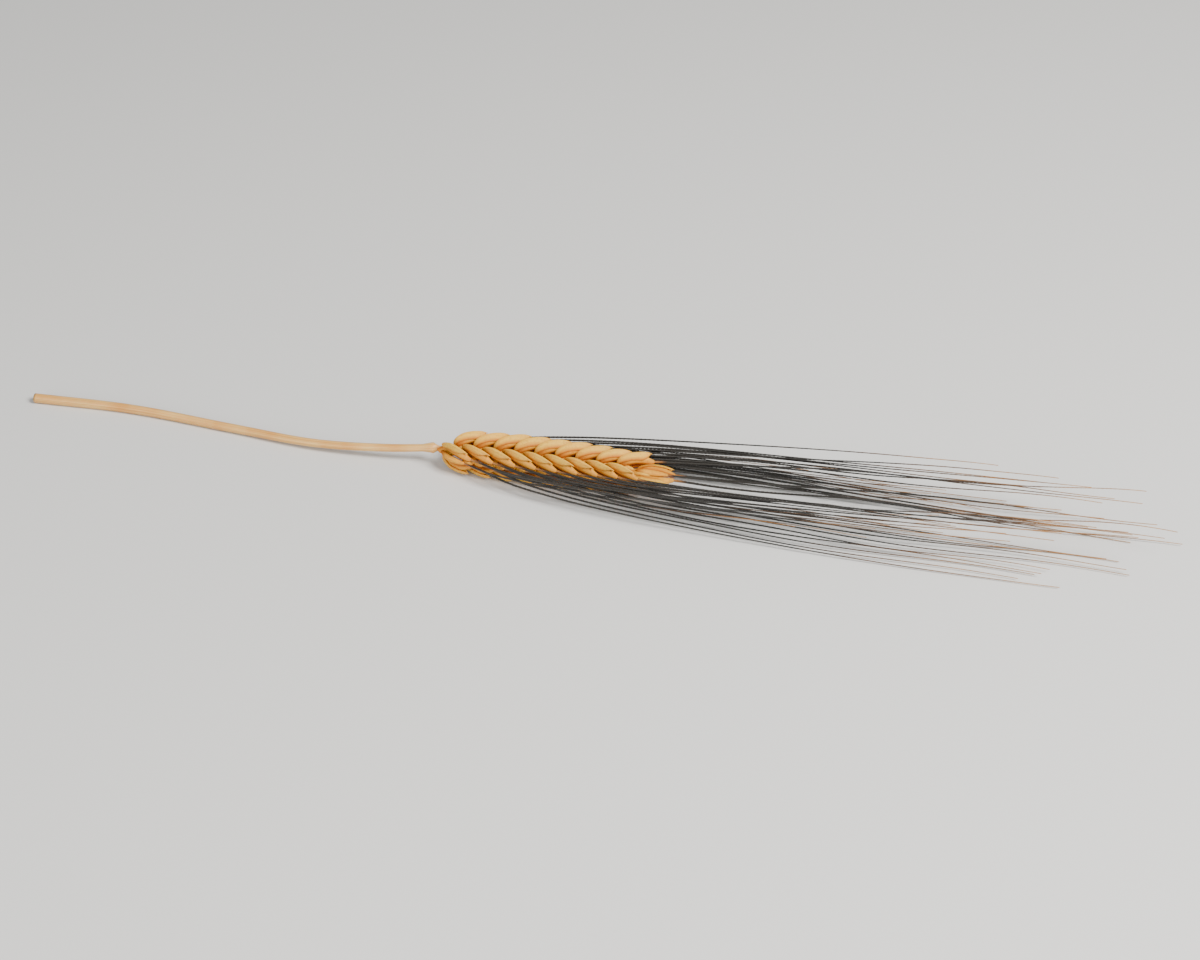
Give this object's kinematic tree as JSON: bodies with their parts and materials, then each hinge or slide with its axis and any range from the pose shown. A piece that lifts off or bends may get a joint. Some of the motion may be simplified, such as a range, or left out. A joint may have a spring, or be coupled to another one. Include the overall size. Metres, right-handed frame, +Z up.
{
  "type": "bearded wheat ear",
  "caption": "Dried ear of bearded wheat with long dark awns on a length of cut straw, lying on its side.",
  "frame": {"origin": "middle of the ear's whole length and width, on the surface that it lies on", "axes": "+X along the ear from the cut end of the straw to the tips of the awns, +Y to the left row of spikelets, +Z up from the surface"},
  "size_m": [0.3158, 0.0354, 0.0151],
  "materials": {
    "straw": "dry pale straw, fine lengthwise grooves, slight gloss",
    "glume": "dry papery husk, golden, matt with a silky sheen along the keel",
    "floret": "golden husk that passes into a rough charcoal-black awn with a golden-brown tip"
  },
  "bodies": {
    "root": {"straw_and_rachis": "straw", "right_1_glumes": "glume", "right_1_floret_top": "floret", "right_1_floret_under": "floret", "left_1_glumes": "glume", "left_1_floret_top": "floret", "left_1_floret_under": "floret", "right_2_glumes": "glume", "right_2_floret_top": "floret", "right_2_floret_under": "floret", "left_2_glumes": "glume", "left_2_floret_top": "floret", "left_2_floret_under": "floret", "right_3_glumes": "glume", "right_3_floret_top": "floret", "right_3_floret_under": "floret", "left_3_glumes": "glume", "left_3_floret_top": "floret", "left_3_floret_under": "floret", "right_4_glumes": "glume", "right_4_floret_top": "floret", "right_4_floret_under": "floret", "left_4_glumes": "glume", "left_4_floret_top": "floret", "left_4_floret_under": "floret", "right_5_glumes": "glume", "right_5_floret_top": "floret", "right_5_floret_under": "floret", "left_5_glumes": "glume", "left_5_floret_top": "floret", "left_5_floret_under": "floret", "right_6_glumes": "glume", "right_6_floret_top": "floret", "right_6_floret_under": "floret", "left_6_glumes": "glume", "left_6_floret_top": "floret", "left_6_floret_under": "floret", "right_7_glumes": "glume", "right_7_floret_top": "floret", "right_7_floret_under": "floret", "left_7_glumes": "glume", "left_7_floret_top": "floret", "left_7_floret_under": "floret", "right_8_glumes": "glume", "right_8_floret_top": "floret", "right_8_floret_under": "floret", "left_8_glumes": "glume", "left_8_floret_top": "floret", "left_8_floret_under": "floret", "right_9_glumes": "glume", "right_9_floret_top": "floret", "right_9_floret_under": "floret", "left_9_glumes": "glume", "left_9_floret_top": "floret", "left_9_floret_under": "floret", "tip_glumes": "glume", "tip_floret_left": "floret", "tip_floret_right": "floret"}
  },
  "joints": []
}
